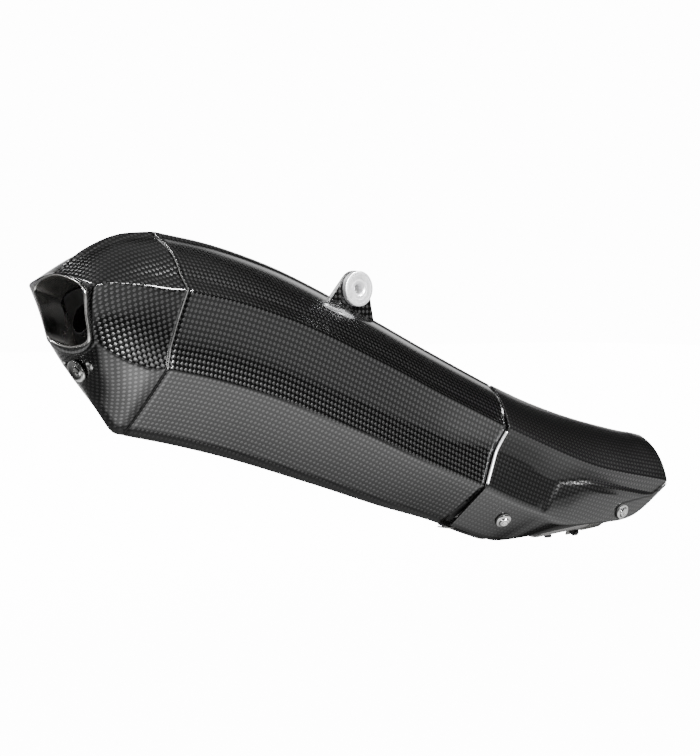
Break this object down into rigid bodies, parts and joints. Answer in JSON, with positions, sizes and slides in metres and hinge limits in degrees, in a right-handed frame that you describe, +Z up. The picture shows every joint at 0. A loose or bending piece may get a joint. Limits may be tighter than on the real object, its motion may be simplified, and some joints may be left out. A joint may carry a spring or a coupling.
{
  "type": "exhaust muffler",
  "caption": "Slip-on motorcycle exhaust muffler: six-sided carbon sleeve with a tapered end cap, steel inlet pipe, carbon heat shield, hanger boss and pull-out noise damper.",
  "frame": {"origin": "the hanger bolt's axis, in the muffler's middle plane", "axes": "+X forward to the inlet end, +Z up as hung on the motorcycle, +Y towards the motorcycle and along the hanger bolt"},
  "size_m": [0.6471, 0.1156, 0.2719],
  "materials": {
    "carbon_cap": "woven carbon fibre laminate under a gloss clear coat",
    "carbon_sleeve": "woven carbon fibre laminate under a gloss clear coat",
    "carbon_shield": "woven carbon fibre laminate under a gloss clear coat",
    "carbon_facing": "thin woven carbon facing, gloss clear coat",
    "seam_steel": "fine bright edge",
    "dark_steel": "heat darkened, satin",
    "inner_steel": "plain rolled sheet, satin",
    "wire_wool": "matted steel wire",
    "glass_wool": "needled glass fibre mat",
    "liner_steel": "folded sheet, satin, faint heat tint",
    "screw_steel": "polished stainless",
    "pipe_steel": "drawn tube, satin",
    "clamp_steel": "satin stainless strip",
    "bracket_aluminium": "satin anodised",
    "machined_aluminium": "turned, fine concentric tool marks",
    "rubber_black": "matt"
  },
  "bodies": {
    "muffler": {"end_cap": "carbon_cap", "outer_sleeve": "carbon_sleeve", "heat_shield": "carbon_shield", "hanger_facing": "carbon_facing", "rear_seam_ring": "seam_steel", "front_band": "dark_steel", "rear_bulkhead": "inner_steel", "front_bulkhead": "inner_steel", "core_tube": "inner_steel", "wire_wool_wrap": "wire_wool", "packing": "glass_wool", "outlet_liner": "liner_steel", "damper_screw": "screw_steel", "cap_rivet_right": "screw_steel", "cap_rivet_left": "screw_steel", "inlet_cone": "pipe_steel", "inlet_pipe": "pipe_steel", "inlet_clamp": "clamp_steel", "clamp_bolt": "dark_steel", "clamp_nut": "dark_steel", "test_port_plug": "dark_steel", "lower_clip": "clamp_steel", "hanger_blade": "bracket_aluminium", "hanger_bush": "machined_aluminium", "hanger_grommet": "rubber_black", "hanger_washer": "machined_aluminium", "hanger_foot": "inner_steel", "shield_washer_rear_right": "rubber_black", "shield_screw_rear_right": "screw_steel", "shield_bracket_rear_right": "inner_steel", "shield_nut_rear_right": "dark_steel", "shield_washer_rear_left": "rubber_black", "shield_screw_rear_left": "screw_steel", "shield_bracket_rear_left": "inner_steel", "shield_nut_rear_left": "dark_steel", "shield_washer_front_right": "rubber_black", "shield_screw_front_right": "screw_steel", "shield_bracket_front_right": "inner_steel", "shield_nut_front_right": "dark_steel", "shield_washer_front_left": "rubber_black", "shield_screw_front_left": "screw_steel", "shield_bracket_front_left": "inner_steel", "shield_nut_front_left": "dark_steel"},
    "noise_damper": {"damper_plate": "dark_steel", "damper_tube": "dark_steel"}
  },
  "joints": [
    {"name": "damper_slide", "type": "slide", "parent": "muffler", "child": "noise_damper", "axis": [-0.955, 0, 0.2965], "range_m": [0, 0.11]}
  ]
}
